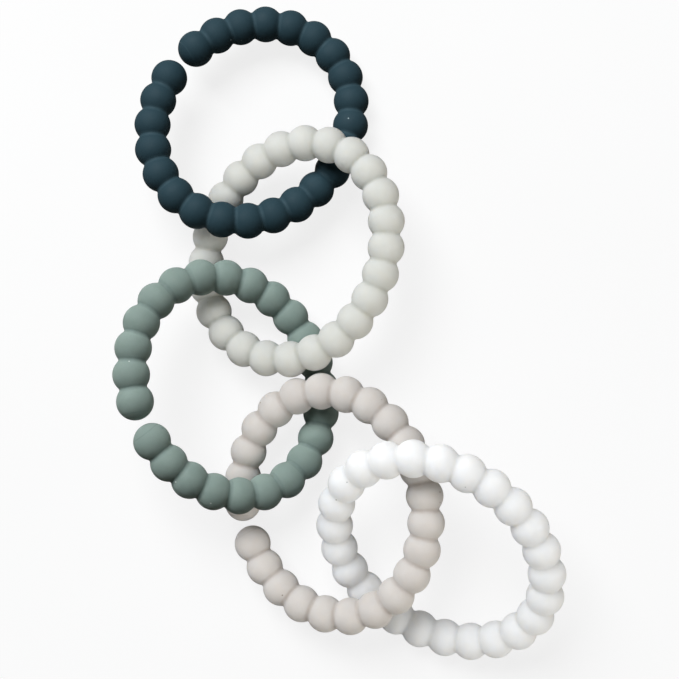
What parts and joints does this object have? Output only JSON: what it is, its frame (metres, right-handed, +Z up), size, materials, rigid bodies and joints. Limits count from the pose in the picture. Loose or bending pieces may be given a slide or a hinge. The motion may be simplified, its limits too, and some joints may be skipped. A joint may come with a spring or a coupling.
{
  "type": "linking ring toy",
  "caption": "Open beaded silicone rings hooked through one another in a loose chain, for a baby to hold, chew, link and swing.",
  "frame": {"origin": "centre of the chain's box on the surface that it lies on", "axes": "+Z up from the table, +Y along the chain from the white ring to the slate ring"},
  "size_m": [0.1314, 0.2018, 0.043],
  "materials": {
    "silicone_slate": "matt moulded silicone",
    "silicone_pearl": "matt moulded silicone",
    "silicone_sage": "matt moulded silicone",
    "silicone_sand": "matt moulded silicone",
    "silicone_white": "matt moulded silicone"
  },
  "bodies": {
    "ring_slate": {"ring_slate": "silicone_slate"},
    "ring_pearl": {"ring_pearl": "silicone_pearl"},
    "ring_sage": {"ring_sage": "silicone_sage"},
    "ring_sand": {"ring_sand": "silicone_sand"},
    "ring_white": {"ring_white": "silicone_white"}
  },
  "joints": [
    {"name": "pearl_swing", "type": "hinge", "parent": "ring_sage", "child": "ring_pearl", "pos_m": [-0.0417, 0.0151, 0.0059], "axis": [0.4099, -0.9121, 0], "range_deg": [0, 60]},
    {"name": "slate_swing", "type": "hinge", "parent": "ring_pearl", "child": "ring_slate", "pos_m": [0.0017, 0.055, 0.0072], "axis": [0.454, 0.891, 0], "range_deg": [0, 110]},
    {"name": "sand_swing", "type": "hinge", "parent": "ring_sage", "child": "ring_sand", "pos_m": [-0.0302, -0.0505, 0.0072], "axis": [0.0262, -0.9997, 0], "range_deg": [0, 90]},
    {"name": "white_swing", "type": "hinge", "parent": "ring_sand", "child": "ring_white", "pos_m": [0.0152, -0.0849, 0.0098], "axis": [0.6361, -0.7716, 0], "range_deg": [0, 100]}
  ]
}
